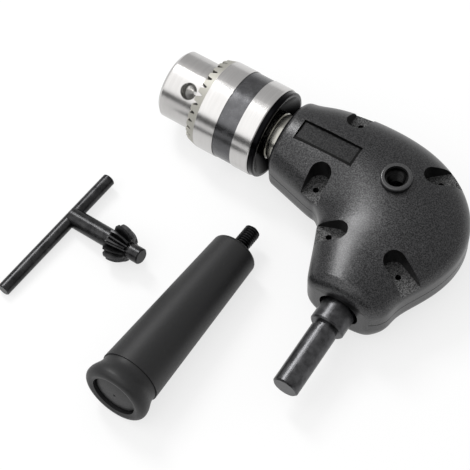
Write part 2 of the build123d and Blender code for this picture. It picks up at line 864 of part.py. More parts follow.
export_step(chuck_sleeve.part, "parts/chuck_sleeve.step")

# Size band, a dark ring let into the sleeve
chuck_band = ring(
    across_chuck,
    band_rear + band_gap,
    band_length - 2 * band_gap,
    sleeve_radius - band_depth,
    sleeve_radius - band_sink,
)
chuck_band.label = "chuck_band"
export_step(chuck_band, "parts/chuck_band.step")

# Split nut, pressed into the sleeve round the jaws' toothed backs
with BuildPart() as chuck_nut:
    rod_reach_out = jaw_radius / cos(radians(jaw_angle)) + nut_thread_gap
    with BuildSketch(chuck_profile):
        with BuildLine():
            Polyline(
                (nut_rear, jaw_axis_radius(nut_rear) + rod_reach_out),
                (nut_rear, nut_radius),
                (nut_front, nut_radius),
                (nut_front, jaw_axis_radius(nut_front) + rod_reach_out),
                close=True,
            )
        make_face()
    revolve(axis=chuck_axis)
    with BuildSketch(across_chuck(nut_rear)):
        Rectangle(4 * nut_radius, split_gap)
    extrude(amount=nut_length, mode=Mode.SUBTRACT)
chuck_nut.part.label = "chuck_nut"
export_step(chuck_nut.part, "parts/chuck_nut.step")


def jaw(phase):
    """One open jaw: a slanting rod whose gripping edge lies along the chuck's axis."""
    outward = around_chuck(phase)
    flat_reach = 2 * sleeve_radius
    with BuildPart() as rod:
        with BuildSketch(jaw_plane(phase, jaw_radius)):
            Circle(jaw_radius)
        extrude(amount=jaw_length + jaw_radius)
        with BuildSketch(in_head(Plane(origin=(jaw_tip, 0, 0), x_dir=outward, z_dir=(-1, 0, 0)))):
            with BuildLine():
                Polyline(
                    (grip_radius, 0),
                    (grip_radius + flat_reach, flat_reach * tan(radians(jaw_flat_angle))),
                    (grip_radius + flat_reach, -flat_reach * tan(radians(jaw_flat_angle))),
                    close=True,
                )
            make_face()
        extrude(amount=jaw_length + jaw_radius, mode=Mode.INTERSECT)
    return rod.part


for index, phase in enumerate(jaw_phases, start=1):
    chuck_jaw = jaw(phase)
    chuck_jaw.label = f"jaw_{index}"
    export_step(chuck_jaw, f"parts/jaw_{index}.step")

# The side handle lies on its bead and on the rounded edge of its front face.
bead_station = handle_length - bead_rounding
bead_ring_radius = bead_radius - bead_rounding
front_ring_radius = grip_front_radius - grip_front_rounding
contact_run = bead_station - grip_front_rounding
contact_rise = bead_ring_radius - front_ring_radius
handle_tilt = degrees(
    atan2(contact_rise, contact_run)
    + asin((bead_rounding - grip_front_rounding) / (contact_run**2 + contact_rise**2) ** 0.5)
)
handle_slope = radians(handle_tilt)
handle_z = (
    front_ring_radius * cos(handle_slope) + grip_front_rounding - grip_front_rounding * sin(handle_slope)
)
handle_turn = radians(handle_heading)
handle_back = (
    -cos(handle_turn) * cos(handle_slope),
    -sin(handle_turn) * cos(handle_slope),
    sin(handle_slope),
)
handle_across = (sin(handle_turn), -cos(handle_turn), 0)
handle_profile = Plane(origin=(handle_x, handle_y, handle_z), x_dir=handle_back, z_dir=handle_across)
handle_axis = Axis(handle_profile.origin, handle_profile.x_dir)

# Handle grip: tapered, with a stepped neck, a rounded bead and a recess for its end cap
with BuildPart() as handle_grip:
    with BuildSketch(handle_profile):
        with BuildLine():
            Line((0, bolt_shank_radius), (0, front_ring_radius))
            RadiusArc(
                (0, front_ring_radius), (grip_front_rounding, grip_front_radius), grip_front_rounding
            )
            Line((grip_front_rounding, grip_front_radius), (grip_length, grip_rear_radius))
            Line((grip_length, grip_rear_radius), (grip_length, grip_rear_radius - grip_step))
            Line(
                (grip_length, grip_rear_radius - grip_step),
                (grip_length + neck_length, grip_rear_radius - grip_step),
            )
            Spline(
                (grip_length + neck_length, grip_rear_radius - grip_step),
                (bead_station, bead_radius),
                tangents=[(1, 0), (1, 0)],
            )
            RadiusArc((bead_station, bead_radius), (handle_length, bead_ring_radius), bead_rounding)
            Line((handle_length, bead_ring_radius), (handle_length - grip_step, cap_recess_radius))
            Line(
                (handle_length - grip_step, cap_recess_radius),
                (handle_length - cap_recess_depth, cap_recess_radius),
            )
            Line(
                (handle_length - cap_recess_depth, cap_recess_radius),
                (handle_length - cap_recess_depth, bolt_head_radius),
            )
            Line(
                (handle_length - cap_recess_depth, bolt_head_radius),
                (handle_length - cap_recess_depth - bolt_head_setback, bolt_head_radius),
            )
            Line(
                (handle_length - cap_recess_depth - bolt_head_setback, bolt_head_radius),
                (handle_length - cap_recess_depth - bolt_head_setback, bolt_shank_radius),
            )
            Line(
                (handle_length - cap_recess_depth - bolt_head_setback, bolt_shank_radius),
                (0, bolt_shank_radius),
            )
        make_face()
    revolve(axis=handle_axis)
handle_grip.part.label = "handle_grip"
export_step(handle_grip.part, "parts/handle_grip.step")

# Bolt through the grip, whose end is the threaded stud
with BuildPart() as handle_bolt:
    head_seat = handle_length - cap_recess_depth - bolt_head_setback
    with BuildSketch(handle_profile):
        with BuildLine():
            Polyline(
                (-stud_length, 0),
                (-stud_length, handle_thread_radius - stud_chamfer),
                (-stud_length + stud_chamfer, handle_thread_radius),
                (0, handle_thread_radius),
                (0, bolt_shank_radius),
                (head_seat, bolt_shank_radius),
                (head_seat, bolt_head_radius),
                (head_seat + bolt_head_height, bolt_head_radius),
                (head_seat + bolt_head_height, 0),
                close=True,
            )
        make_face()
    revolve(axis=handle_axis)
handle_bolt.part.label = "handle_bolt"
export_step(handle_bolt.part, "parts/handle_bolt.step")

# End cap, a domed disc pressed over the bolt head
with BuildPart() as handle_end_cap:
    cap_seat = handle_length - cap_recess_depth
    with BuildSketch(handle_profile):
        with BuildLine():
            Line((cap_seat, 0), (cap_seat, cap_recess_radius))
            Line((cap_seat, cap_recess_radius), (cap_seat + cap_flange_thickness, cap_recess_radius))
            Line((cap_seat + cap_flange_thickness, cap_recess_radius), (cap_seat + cap_flange_thickness, cap_radius))
            Line((cap_seat + cap_flange_thickness, cap_radius), (cap_seat + cap_thickness, cap_radius))
            ThreePointArc(
                (cap_seat + cap_thickness, cap_radius),
                (cap_seat + cap_thickness + cap_dome_halfway, cap_radius / 2),
                (cap_seat + cap_thickness + cap_dome, 0),
            )
            Line((cap_seat + cap_thickness + cap_dome, 0), (cap_seat, 0))
        make_face()
    revolve(axis=handle_axis)
    cap_top = Plane(handle_profile.origin, x_dir=handle_across, z_dir=handle_back)
    with BuildSketch(cap_top.offset(cap_seat + cap_thickness)):
        Circle(cap_dimple_radius)
    extrude(amount=2 * cap_dome, mode=Mode.SUBTRACT)
handle_end_cap.part.label = "handle_end_cap"
export_step(handle_end_cap.part, "parts/handle_end_cap.step")

# The chuck key lies on the back rim of its pinion, on the lower edge of its stem, and on the bar's long end.
key_tilt = atan2(pinion_radius - stem_radius, pinion_reach + pinion_back_chamfer)
key_turn = radians(key_heading)
stem_direction = Vector(cos(key_turn) * cos(key_tilt), sin(key_turn) * cos(key_tilt), sin(key_tilt))
key_height = stem_radius * cos(key_tilt)
bar_roll = asin((key_height - bar_radius) / bar_lower_length)
level_direction = Vector(-sin(key_turn), cos(key_turn), 0)
bar_direction = level_direction * cos(bar_roll) + stem_direction.cross(level_direction) * sin(bar_roll)
key_profile = Plane(origin=(key_x, key_y, key_height), x_dir=stem_direction, z_dir=bar_direction)
key_axis = Axis(key_profile.origin, key_profile.x_dir)
stem_plane = Plane(key_profile.origin, x_dir=bar_direction, z_dir=stem_direction)

# T-bar of the key
with BuildPart() as key_bar:
    with BuildSketch(key_profile.offset(-bar_lower_length)):
        Circle(bar_radius)
    extrude(amount=bar_lower_length + bar_upper_length)
    chamfer(key_bar.edges().filter_by(GeomType.CIRCLE), bar_chamfer)
key_bar.part.label = "key_bar"
export_step(key_bar.part, "parts/key_bar.step")

# Stem, pinion and pilot of the key, the stem saddled on the bar
pinion_front = pinion_reach + pinion_length
root_angle = degrees(atan((pinion_root_back - pinion_root_nose) / pinion_length))
root_apex = pinion_front + pinion_root_nose / tan(radians(root_angle))
pinion_apex = Plane(
    key_profile.origin + key_profile.x_dir * root_apex,
    x_dir=-key_profile.y_dir,
    z_dir=-key_profile.x_dir,
)
apex_distance = (root_apex - pinion_reach) / cos(radians(root_angle))
pinion_gullet = gullet(
    root_angle,
    apex_distance,
    pinion_radius - pinion_root_back,
    pinion_gullet_root,
    pinion_gullet_top,
    pinion_back_chamfer,
    pinion_length + pinion_back_chamfer,
)
with BuildPart(pinion_apex) as key_body:
    with BuildSketch(key_profile):
        with BuildLine():
            Polyline(
                (pinion_reach + pinion_back_chamfer, 0),
                (pinion_reach, 0),
                (pinion_reach, pinion_radius - pinion_back_chamfer),
                (pinion_reach + pinion_back_chamfer, pinion_radius),
            )
            ThreePointArc(
                (pinion_reach + pinion_back_chamfer, pinion_radius),
                (pinion_reach + pinion_bulge[0], pinion_bulge[1]),
                (pinion_front, pinion_nose_radius),
            )
            Line((pinion_front, pinion_nose_radius), (pinion_front, 0))
            Line((pinion_front, 0), (pinion_reach + pinion_back_chamfer, 0))
        make_face()
    revolve(axis=key_axis)
    with PolarLocations(0, pinion_teeth, start_angle=180 / pinion_teeth):
        add(pinion_gullet, mode=Mode.SUBTRACT)
    with BuildSketch(stem_plane):
        Circle(stem_radius)
    extrude(amount=pinion_reach)
    with BuildSketch(stem_plane.offset(pinion_reach)):
        Circle(key_pilot_radius)
    extrude(amount=pinion_length + key_pilot_length)
    pilot_end = key_body.faces().sort_by(key_axis)[-1]
    chamfer(pilot_end.edges(), key_pilot_chamfer)
    with BuildSketch(key_profile.offset(-bar_lower_length)):
        Circle(bar_radius)
    extrude(amount=bar_lower_length + bar_upper_length, mode=Mode.SUBTRACT)
key_body.part.label = "key_body"
export_step(key_body.part, "parts/key_body.step")
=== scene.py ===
import json
from math import pi

import bpy
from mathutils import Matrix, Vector


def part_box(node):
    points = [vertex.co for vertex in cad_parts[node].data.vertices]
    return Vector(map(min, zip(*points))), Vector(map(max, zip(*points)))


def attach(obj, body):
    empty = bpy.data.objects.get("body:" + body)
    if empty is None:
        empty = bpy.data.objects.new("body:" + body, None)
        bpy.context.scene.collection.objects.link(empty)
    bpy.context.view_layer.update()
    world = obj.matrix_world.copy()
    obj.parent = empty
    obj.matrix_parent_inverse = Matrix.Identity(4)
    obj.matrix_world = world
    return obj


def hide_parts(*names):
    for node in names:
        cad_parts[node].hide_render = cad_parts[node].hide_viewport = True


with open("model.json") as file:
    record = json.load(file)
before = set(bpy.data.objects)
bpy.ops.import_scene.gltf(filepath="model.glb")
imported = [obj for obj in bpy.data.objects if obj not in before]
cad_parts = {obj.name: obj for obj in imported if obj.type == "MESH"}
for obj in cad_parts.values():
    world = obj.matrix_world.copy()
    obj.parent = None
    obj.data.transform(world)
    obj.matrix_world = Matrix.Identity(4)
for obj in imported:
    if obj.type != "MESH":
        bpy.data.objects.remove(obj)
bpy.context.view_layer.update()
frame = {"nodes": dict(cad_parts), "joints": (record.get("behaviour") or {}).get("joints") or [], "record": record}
nodes = frame["nodes"]
joints = {joint["name"]: joint for joint in frame["joints"]}
mounts = {mount["name"]: mount for mount in frame["record"]["mounts"]}
mm = 0.001
print("frame loaded:", len(nodes), "nodes")

# Axes that the pieces and their patterns are set by, all read from the frame
crossing = Vector(joints["output_spin"]["pos_m"])
chuckAxis = Vector(joints["output_spin"]["axis"])
shankAxis = Vector(joints["input_spin"]["axis"])
headTop = Vector(mounts["handle_thread"]["axis"])
studAxis = Vector(mounts["handle_stud"]["axis"])
studLength = mounts["handle_stud"]["dims"]["length_mm"]
handleFace = Vector(mounts["handle_stud"]["pos_m"]) - studAxis * studLength / 2 * mm
keyAxis = Vector(mounts["key_pilot"]["axis"])
pilotLength = mounts["key_pilot"]["dims"]["length_mm"]
keyNose = Vector(mounts["key_pilot"]["pos_m"]) - keyAxis * pilotLength / 2 * mm


def frontReach(node):  # how far out along the chuck's axis a node ends, in mm from the crossing
    low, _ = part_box(node)
    return (crossing.x - low.x) / mm


def deselectAll():
    if bpy.context.object and bpy.context.object.mode != "OBJECT":
        bpy.ops.object.mode_set(mode="OBJECT")
    bpy.ops.object.select_all(action="DESELECT")


def turnTo(axis):
    return Vector(axis).to_track_quat("Z", "Y")


# Node trees
def setInputs(tree, node, inputs):
    for name, value in inputs.items():
        if isinstance(value, bpy.types.NodeSocket):
            tree.links.new(value, node.inputs[name])
        else:
            node.inputs[name].default_value = value
    return node


def shaderNode(tree, kind, inputs=None, **settings):
    made = tree.nodes.new("ShaderNode" + kind)
    for name, value in settings.items():
        setattr(made, name, value)
    return setInputs(tree, made, inputs or {})


def placeGroup(tree, group, inputs):
    made = tree.nodes.new("ShaderNodeGroup")
    made.node_tree = group
    return setInputs(tree, made, inputs)


def calculate(tree, operation, first, second=0.0):
    return shaderNode(tree, "Math", {0: first, 1: second}, operation=operation).outputs[0]


def ramp(tree, value, low, high, start=0.0, end=1.0):  # start at low, end at high, level outside
    span = {"From Min": low, "From Max": high, "To Min": start, "To Max": end}
    return shaderNode(tree, "MapRange", {"Value": value, **span}).outputs[0]


def within(tree, value, middle, reach):  # 1 within the reach of the middle, else 0
    return shaderNode(tree, "Math", {0: value, 1: middle, 2: reach}, operation="COMPARE").outputs[0]


def blendValues(tree, share, first, second):
    return shaderNode(tree, "Mix", {0: share, 2: first, 3: second}, data_type="FLOAT").outputs[0]


def blendColours(tree, share, first, second):
    colours = [part if isinstance(part, bpy.types.NodeSocket) else (*part, 1) for part in (first, second)]
    return shaderNode(tree, "Mix", {0: share, 6: colours[0], 7: colours[1]}, data_type="RGBA").outputs[2]


def noise(tree, point, scale, detail, roughness, distortion=0.0):
    inputs = {"Vector": point, "Scale": scale, "Detail": detail, "Roughness": roughness}
    return shaderNode(tree, "TexNoise", {**inputs, "Distortion": distortion}).outputs[0]


def stretch(tree, point, factors):
    return shaderNode(tree, "VectorMath", {0: point, 1: factors}, operation="MULTIPLY").outputs[0]


def pointInMm(tree, origin, axis):  # object coordinates in mm, zero at the origin, Z along the axis
    place = shaderNode(tree, "TexCoord").outputs["Object"]
    turned = shaderNode(tree, "Mapping", {"Vector": place}, vector_type="TEXTURE")
    turned.inputs["Location"].default_value = origin
    turned.inputs["Rotation"].default_value = turnTo(axis).to_euler()
    turned.inputs["Scale"].default_value = (mm, mm, mm)
    return turned.outputs[0]


def splitPoint(tree, point):  # reach along the axis, and distance from it
    parts = shaderNode(tree, "SeparateXYZ", {0: point})
    flat = shaderNode(tree, "CombineXYZ", {"X": parts.outputs[0], "Y": parts.outputs[1]})
    radius = shaderNode(tree, "VectorMath", {0: flat.outputs[0]}, operation="LENGTH")
    return parts.outputs[2], radius.outputs["Value"]


def distanceAlong(tree, origin, axis):  # mm from the origin along the axis
    place = shaderNode(tree, "TexCoord").outputs["Object"]
    offset = shaderNode(tree, "VectorMath", {0: place, 1: origin}, operation="SUBTRACT")
    reach = shaderNode(tree, "VectorMath", {0: offset.outputs[0], 1: axis}, operation="DOT_PRODUCT")
    return calculate(tree, "DIVIDE", reach.outputs["Value"], mm)


def facing(tree, axis):  # 1 where the surface faces along the axis, 0 where it stands along it
    normal = shaderNode(tree, "TexCoord").outputs["Normal"]
    share = shaderNode(tree, "VectorMath", {0: normal, 1: axis}, operation="DOT_PRODUCT")
    return calculate(tree, "ABSOLUTE", share.outputs["Value"])


def newGroup(name, values, outputs):  # takes a point and the values, each with its usual amount
    group = bpy.data.node_groups.new(name, "ShaderNodeTree")
    group.interface.new_socket(name="Point", in_out="INPUT", socket_type="NodeSocketVector")
    for label, usual in values.items():
        socket = group.interface.new_socket(name=label, in_out="INPUT", socket_type="NodeSocketFloat")
        socket.default_value = usual
    for label in outputs:
        group.interface.new_socket(name=label, in_out="OUTPUT", socket_type="NodeSocketFloat")
    return group, group.nodes.new("NodeGroupInput"), group.nodes.new("NodeGroupOutput")


# Grain of moulded plastic: fine height and a few pale flecks
mouldNoise = {"detail": 2.0, "roughness": 0.6, "fleckScale": 1.7, "fleckSoftness": 0.06}
grainGroup, grainIn, grainOut = newGroup("mouldGrain", {"Grain": 0.4, "Fleck": 0.7}, ["Height", "Fleck"])
grainScale = calculate(grainGroup, "DIVIDE", 1.0, grainIn.outputs["Grain"])
fineGrain = noise(
    grainGroup, grainIn.outputs["Point"], grainScale, mouldNoise["detail"], mouldNoise["roughness"]
)
fleckGrain = noise(
    grainGroup, grainIn.outputs["Point"], mouldNoise["fleckScale"], detail=1.0, roughness=0.5
)
fleckEdge = calculate(grainGroup, "ADD", grainIn.outputs["Fleck"], mouldNoise["fleckSoftness"])
flecks = ramp(grainGroup, fleckGrain, grainIn.outputs["Fleck"], fleckEdge)
setInputs(grainGroup, grainOut, {"Height": fineGrain, "Fleck": flecks})

# Marks of the lathe: rings square to the Z of the point given
latheNoise = {
    "along": (0.03, 0.03, 1.0), "roughness": 0.7, "ringDetail": 3.0, "streakDetail": 5.0, "streakScale": 0.2,
}
latheGroup, latheIn, latheOut = newGroup("latheMarks", {"Rings": 5.0}, ["Height", "Streak"])
turnedPoint = stretch(latheGroup, latheIn.outputs["Point"], latheNoise["along"])
ringNoise = noise(
    latheGroup, turnedPoint, latheIn.outputs["Rings"], latheNoise["ringDetail"], latheNoise["roughness"]
)
streakScale = calculate(latheGroup, "MULTIPLY", latheIn.outputs["Rings"], latheNoise["streakScale"])
streakNoise = noise(
    latheGroup, turnedPoint, streakScale, latheNoise["streakDetail"], latheNoise["roughness"]
)
setInputs(latheGroup, latheOut, {"Height": ringNoise, "Streak": streakNoise})

# Handling marks on dark metal: soft patches and fine scratches
handledNoise = {"along": (3.0, 0.4, 0.15), "scratchScale": 1.2, "scratchEdge": (0.6, 0.68)}
handledGroup, handledIn, handledOut = newGroup("handledMetal", {"Size": 2.0}, ["Patches", "Scratches"])
patchScale = calculate(handledGroup, "DIVIDE", 1.0, handledIn.outputs["Size"])
patchNoise = noise(handledGroup, handledIn.outputs["Point"], patchScale, detail=5.0, roughness=0.6)
scratchPoint = stretch(handledGroup, handledIn.outputs["Point"], handledNoise["along"])
scratchNoise = noise(
    handledGroup, scratchPoint, handledNoise["scratchScale"], detail=6.0, roughness=0.8, distortion=0.6
)
scratches = ramp(handledGroup, scratchNoise, *handledNoise["scratchEdge"])
setInputs(handledGroup, handledOut, {"Patches": patchNoise, "Scratches": scratches})

# Where most of a noise's values lie, and its middle part
noiseSpan = (0.3, 0.7)
noiseMiddle = (0.35, 0.65)


def startMaterial(name, settings):
    material = bpy.data.materials.new(name)
    material.use_nodes = True
    tree = material.node_tree
    shader = tree.nodes["Principled BSDF"]
    shader.inputs["Metallic"].default_value = settings.get("metallic", 0.0)
    shader.inputs["Specular IOR Level"].default_value = settings.get("specular", 0.5)
    return material, tree, shader


def bumpInto(tree, shader, height, depth):
    made = shaderNode(tree, "Bump", {"Height": height, "Distance": depth * mm})
    tree.links.new(made.outputs[0], shader.inputs["Normal"])


# Plastics
def paintedRecessShade(tree, settings):  # painted shade on the label recess's floor: 1 along its edges, the shade level inside them
    offset = chuckAxis * settings["middle"][0] + shankAxis * settings["middle"][1]
    middle = crossing + (offset + headTop * settings["height"]) * mm
    upright = (headTop + chuckAxis * settings["slope"]).normalized()
    along = distanceAlong(tree, middle, chuckAxis)
    across = distanceAlong(tree, middle, shankAxis)
    low = within(tree, distanceAlong(tree, middle, upright), 0.0, settings["depth"])
    masks = []
    for edge, shift in ((0.0, (0.0, 0.0)), (settings["edge"], settings["shift"])):
        lengthwise = within(tree, along, shift[0], settings["length"] / 2 - edge)
        crosswise = within(tree, across, shift[1], settings["width"] / 2 - edge)
        masks.append(calculate(tree, "MULTIPLY", lengthwise, crosswise))
    lit = calculate(tree, "MULTIPLY", masks[1], 1.0 - settings["shade"])
    return calculate(tree, "MULTIPLY", low, calculate(tree, "SUBTRACT", masks[0], lit))


def mouldedPlaces(tree, shader, point, colour, settings):  # the housing's pockets, label recess and boss, with painted shade on the pocket walls and in the recess and a painted highlight on the boss's top
    # The grain's own noise once more, outside the group, because it feeds the tint too
    speckle = noise(tree, point, 1 / settings["grain"], mouldNoise["detail"], mouldNoise["roughness"])
    tone = ramp(tree, speckle, *settings["speckle"])
    height = distanceAlong(tree, crossing, headTop)
    flat = facing(tree, headTop)
    level = calculate(tree, "GREATER_THAN", flat, settings["floorFacing"])
    floors = calculate(
        tree, "MULTIPLY", within(tree, height, settings["pocketFloor"], settings["floorBand"]), level
    )
    floorColour = blendColours(tree, tone, settings["floorDark"], settings["floorLight"])
    colour = blendColours(tree, floors, colour, floorColour)
    # Painted shade: the pocket walls and the label recess get a dark colour and a weak reflection
    upright = calculate(tree, "LESS_THAN", flat, settings["wallFacing"])
    above = calculate(tree, "GREATER_THAN", height, settings["pocketFloor"] - settings["floorBand"])
    walls = calculate(tree, "MULTIPLY", upright, above)
    paintedShade = calculate(tree, "MAXIMUM", walls, paintedRecessShade(tree, settings["recess"]))
    colour = blendColours(tree, paintedShade, colour, settings["wall"])
    # Painted highlight: the boss's top gets a lighter colour and full reflection
    boss = ramp(tree, height, settings["bossFrom"], settings["bossFrom"] + settings["bossBlend"])
    glint = blendColours(tree, tone, settings["glintDark"], settings["glintLight"])
    glint = blendColours(tree, boss, glint, settings["glintLight"])
    glint = blendColours(tree, paintedShade, glint, settings["paintedShadeGlint"])
    tree.links.new(glint, shader.inputs["Specular Tint"])
    return blendColours(tree, boss, colour, settings["bossPaintedHighlight"])


def plastic(name, origin, axis, settings):
    material, tree, shader = startMaterial(name, settings)
    point = pointInMm(tree, origin, axis)
    grain = placeGroup(
        tree, grainGroup, {"Point": point, "Grain": settings["grain"], "Fleck": settings["fleckLevel"]}
    )
    height = grain.outputs["Height"]
    colour = blendColours(
        tree, ramp(tree, height, *settings["speckle"]), settings["dark"], settings["light"]
    )
    colour = blendColours(tree, grain.outputs["Fleck"], colour, settings["fleck"])
    if "pocketFloor" in settings:
        colour = mouldedPlaces(tree, shader, point, colour, settings)
    tree.links.new(colour, shader.inputs["Base Color"])
    tree.links.new(ramp(tree, height, *noiseMiddle, *settings["roughness"]), shader.inputs["Roughness"])
    bumpInto(tree, shader, height, settings["depth"])
    return material


housingLook = {
    "dark": (0.002, 0.002, 0.0022),
    "light": (0.014, 0.014, 0.0155),
    "speckle": (0.4, 0.62),
    "glintDark": (0.45, 0.45, 0.46),
    "glintLight": (1.0, 1.0, 1.0),
    # the last tint weakens the reflection under the painted shade
    "paintedShadeGlint": (0.12, 0.12, 0.12),
    "fleck": (0.06, 0.06, 0.062),
    "fleckLevel": 0.7,
    "grain": 0.42,
    "depth": 0.03,
    "roughness": (0.28, 0.38),
    "specular": 0.8,
    "pocketFloor": 6.2,  # mm above the crossing of the axes, as the other heights here
    "floorBand": 0.1,
    "floorFacing": 0.999,
    "floorDark": (0.005, 0.005, 0.005),
    "floorLight": (0.1, 0.1, 0.1),
    "wallFacing": 0.06,
    # painted shade colour for the pocket walls and the label recess
    "wall": (0.0015, 0.0015, 0.0015),
    # the label recess, whose floor and edges get painted shade
    "recess": {
        "middle": (32.4, 1.8), "height": 15.5, "slope": 0.0384, "depth": 0.3, "length": 23.3, "width": 8.3,
        "edge": 0.9, "shift": (0.35, -0.5), "shade": 0.5,
    },
    "bossFrom": 17.1,
    "bossBlend": 0.3,
    # lighter colour of the boss's top, a painted highlight
    "bossPaintedHighlight": (0.014, 0.014, 0.015),
}
gripLook = {
    "dark": (0.0055, 0.0055, 0.006),
    "light": (0.009, 0.009, 0.0095),
    "speckle": (0.4, 0.6),
    "fleck": (0.03, 0.03, 0.03),
    "fleckLevel": 0.74,
    "grain": 0.4,
    "depth": 0.014,
    "roughness": (0.42, 0.56),
    "specular": 0.45,
}
housingPlastic = plastic("housingPlastic", crossing, headTop, housingLook)
gripPlastic = plastic("gripPlastic", handleFace, -studAxis, gripLook)


# Metals
def darkMetal(name, origin, axis, settings):
    material, tree, shader = startMaterial(name, settings)
    point = pointInMm(tree, origin, axis)
    lathe = placeGroup(tree, latheGroup, {"Point": point, "Rings": settings["rings"]})
    marks = placeGroup(tree, handledGroup, {"Point": point, "Size": settings["patch"]})
    patches = marks.outputs["Patches"]
    colour = blendColours(tree, ramp(tree, patches, *noiseMiddle), settings["dark"], settings["light"])
    worn = calculate(tree, "MULTIPLY", marks.outputs["Scratches"], settings["scratches"])
    colour = blendColours(tree, worn, colour, settings["worn"])
    tree.links.new(colour, shader.inputs["Base Color"])
    tree.links.new(ramp(tree, patches, *noiseSpan, *settings["roughness"]), shader.inputs["Roughness"])
    bumpInto(tree, shader, lathe.outputs["Height"], settings["depth"])
    return material


shankLook = {
    "metallic": 1.0,
    "dark": (0.05, 0.05, 0.052),
    "light": (0.1, 0.1, 0.104),
    "worn": (0.22, 0.22, 0.22),
    "scratches": 0.35,
    "rings": 3.0,
    "patch": 3.0,
    "depth": 0.008,
    "roughness": (0.26, 0.4),
}
keyLook = dict(
    shankLook, dark=(0.025, 0.025, 0.026), light=(0.055, 0.055, 0.056), scratches=0.3, depth=0.0015,
    roughness=(0.26, 0.38),
)
threadLook = dict(shankLook, dark=(0.02, 0.02, 0.021), light=(0.045, 0.045, 0.046), scratches=0.1)
# the insert is darker than the bolt's thread steel, a painted shade for the hole in the boss it sits in
insertShadeLook = dict(threadLook, dark=(0.008, 0.008, 0.008), light=(0.02, 0.02, 0.02), roughness=(0.2, 0.3))
bandLook = dict(
    shankLook, dark=(0.09, 0.09, 0.094), light=(0.12, 0.12, 0.125), scratches=0.1, depth=0.001,
    roughness=(0.22, 0.3),
)
shankMetal = darkMetal("shankMetal", crossing, shankAxis, shankLook)
keyMetal = darkMetal("keyMetal", keyNose, keyAxis, keyLook)
threadMetal = darkMetal("threadMetal", handleFace, studAxis, threadLook)
insertShadedMetal = darkMetal("insertShadedMetal", crossing, headTop, insertShadeLook)
bandMetal = darkMetal("bandMetal", crossing, chuckAxis, bandLook)

# Bright chuck steel, black behind, with a matt crown
chuckLook = {
    "steel": (0.58, 0.57, 0.562),
    "shade": (0.53, 0.52, 0.512),
    "bevel": (0.44, 0.43, 0.39),
    # painted shade with some grease in the crown's gullets
    "gullet": (0.02, 0.018, 0.015),
    "black": (0.004, 0.004, 0.0045),
    "roughness": (0.21, 0.24),
    "bevelRoughness": 0.55,
    "blackRoughness": 0.25,
    "rings": 6.0,
    "depth": 0.0002,
    "edge": 0.05,
    "sleeveRadius": 17.0,
    "bevelWidth": 4.53,
    "bevelLength": 3.7,
    "bevelDrop": 1.05,
    "gulletDepth": (0.15, 0.6),
}
noseLook = dict(
    chuckLook, steel=(0.54, 0.53, 0.522), shade=(0.49, 0.48, 0.472), roughness=(0.24, 0.27), rings=4.0,
    # inside the holes of the nose the steel is darker, a painted shade
    insideRadius=(12.6, 12.3), inside=(0.5, 0.495, 0.485), blackBehind=8.0,
)
neckLook = dict(
    chuckLook, steel=(0.5, 0.49, 0.45), shade=(0.4, 0.39, 0.35), roughness=(0.22, 0.26), depth=0.0005
)


def crownBevel(tree, reach, radius, start, colour, rough, settings):  # matt cone with gullets cut in it, darkened by painted shade with some grease
    end = start + settings["bevelLength"]
    crown = ramp(tree, reach, start, start + settings["edge"])
    colour = blendColours(tree, crown, colour, settings["bevel"])
    sleeveRadius = settings["sleeveRadius"]
    coneRadius = ramp(tree, reach, start, end, sleeveRadius, sleeveRadius - settings["bevelDrop"])
    # painted shade with some grease, darker deeper in the gullets
    sunk = ramp(tree, calculate(tree, "SUBTRACT", coneRadius, radius), *settings["gulletDepth"])
    gullet = calculate(tree, "MULTIPLY", sunk, calculate(tree, "LESS_THAN", reach, end))
    return (
        blendColours(tree, gullet, colour, settings["gullet"]),
        blendValues(tree, crown, rough, settings["bevelRoughness"]),
    )


def brightSteel(name, settings, blackBefore, bevelAfter):
    material, tree, shader = startMaterial(name, {"metallic": 1.0})
    point = pointInMm(tree, crossing, chuckAxis)
    reach, radius = splitPoint(tree, point)
    lathe = placeGroup(tree, latheGroup, {"Point": point, "Rings": settings["rings"]})
    streak = lathe.outputs["Streak"]
    colour = blendColours(tree, ramp(tree, streak, *noiseSpan), settings["shade"], settings["steel"])
    rough = ramp(tree, streak, *noiseSpan, *settings["roughness"])
    if bevelAfter:
        colour, rough = crownBevel(tree, reach, radius, bevelAfter, colour, rough, settings)
    # Painted shade inside the key hole and the jaws' mouth
    if "insideRadius" in settings:
        inside = ramp(tree, radius, *settings["insideRadius"])
        colour = blendColours(tree, inside, colour, settings["inside"])
    if blackBefore:
        black = ramp(tree, reach, blackBefore + settings["edge"], blackBefore)
        colour = blendColours(tree, black, colour, settings["black"])
        rough = blendValues(tree, black, rough, settings["blackRoughness"])
    tree.links.new(colour, shader.inputs["Base Color"])
    tree.links.new(rough, shader.inputs["Roughness"])
    bumpInto(tree, shader, lathe.outputs["Height"], settings["depth"])
    return material


sleeveFront = frontReach("chuck_sleeve")
noseSteel = brightSteel("noseSteel", noseLook, sleeveFront - noseLook["blackBehind"], None)
sleeveSteel = brightSteel("sleeveSteel", chuckLook, None, sleeveFront - chuckLook["bevelWidth"])
neckSteel = brightSteel("neckSteel", neckLook, None, None)

# Metals inside the housing and the chuck
innerLook = {
    "rings": 4.0,
    "shade": 0.8,
    "depth": 0.004,
    "bronze": (0.42, 0.27, 0.12),
    "gearSteel": (0.3, 0.3, 0.31),
    "groundSteel": (0.5, 0.5, 0.51),
    "screwSteel": (0.12, 0.12, 0.125),
}


